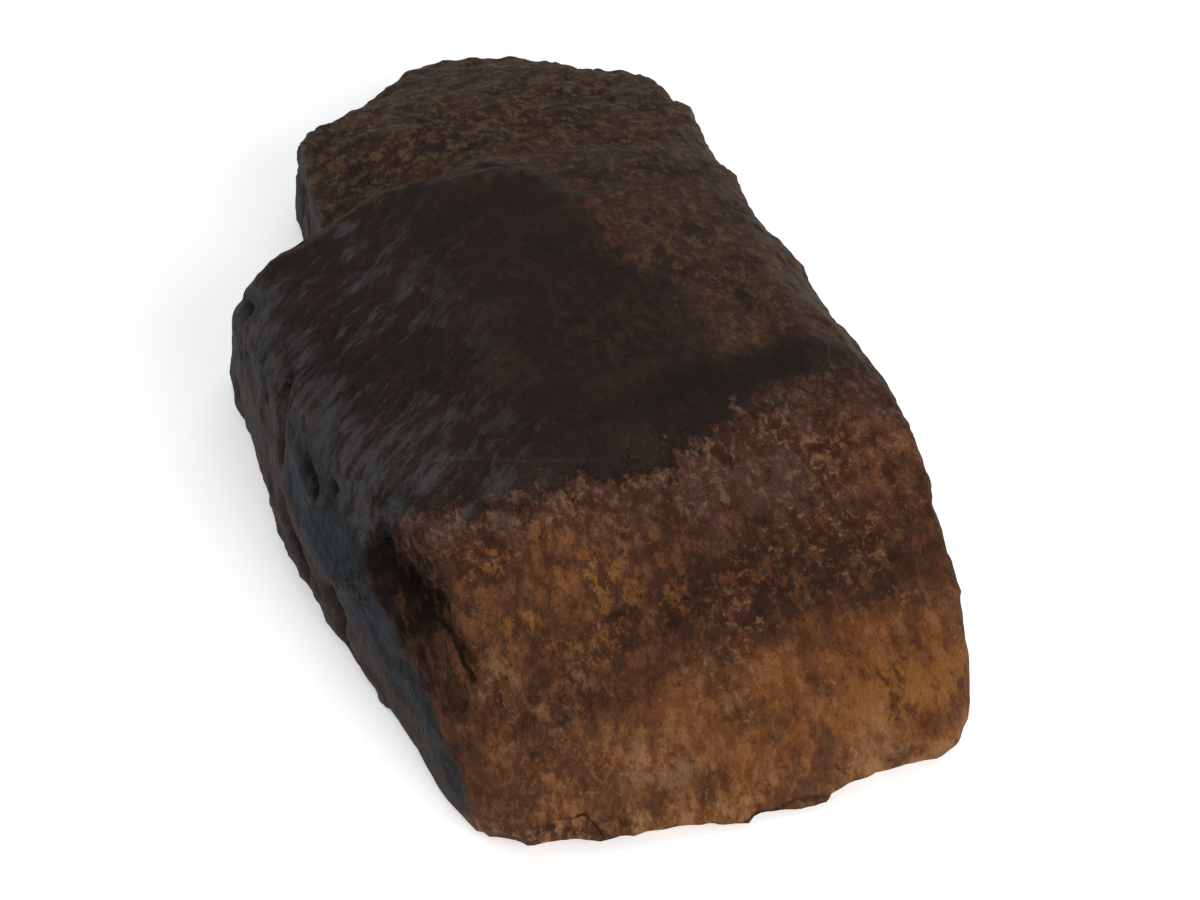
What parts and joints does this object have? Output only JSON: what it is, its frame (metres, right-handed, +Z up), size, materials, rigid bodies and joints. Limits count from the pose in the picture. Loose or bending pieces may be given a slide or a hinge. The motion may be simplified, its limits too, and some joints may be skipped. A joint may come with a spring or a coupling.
{
  "type": "basalt column",
  "caption": "Weathered slab-like length of basalt column lying flat: level upper side, long front ramp, steep long sides and a lower ledge at the back.",
  "frame": {"origin": "middle of the flat base, on the ground", "axes": "+Z up, +Y from the front ramp to the back ledge, +X to the right seen from the front"},
  "size_m": [0.461, 0.922, 0.1525],
  "materials": {
    "stone": "rough weathered rock, brown with a darker, faintly glossy upper side"
  },
  "bodies": {
    "root": {"stone": "stone"}
  },
  "joints": []
}
